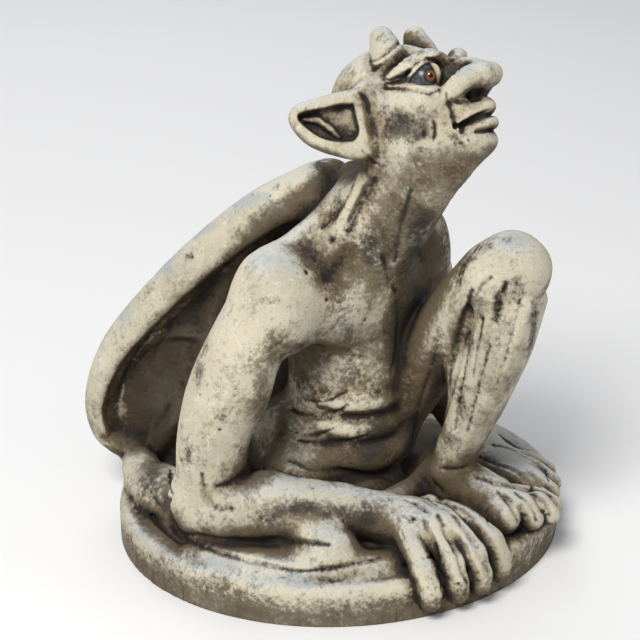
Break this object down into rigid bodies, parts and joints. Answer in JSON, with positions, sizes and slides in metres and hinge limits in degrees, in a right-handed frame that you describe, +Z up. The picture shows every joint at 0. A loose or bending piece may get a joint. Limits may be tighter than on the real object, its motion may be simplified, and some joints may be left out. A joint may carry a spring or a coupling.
{
  "type": "stone gargoyle statue",
  "caption": "Seated winged gargoyle looking up, one knee drawn high and one hand gripping the rim of the oval base it is cast with; stands on its flat underside.",
  "frame": {"origin": "middle of the oval base's flat underside", "axes": "+Z up, the figure's chest faces -Y, its left side is +X"},
  "size_m": [0.2348, 0.2302, 0.2791],
  "materials": {
    "cast_stone": "matte cast stone with a dark wash in its recesses"
  },
  "bodies": {
    "root": {"gargoyle": "cast_stone"}
  },
  "joints": []
}
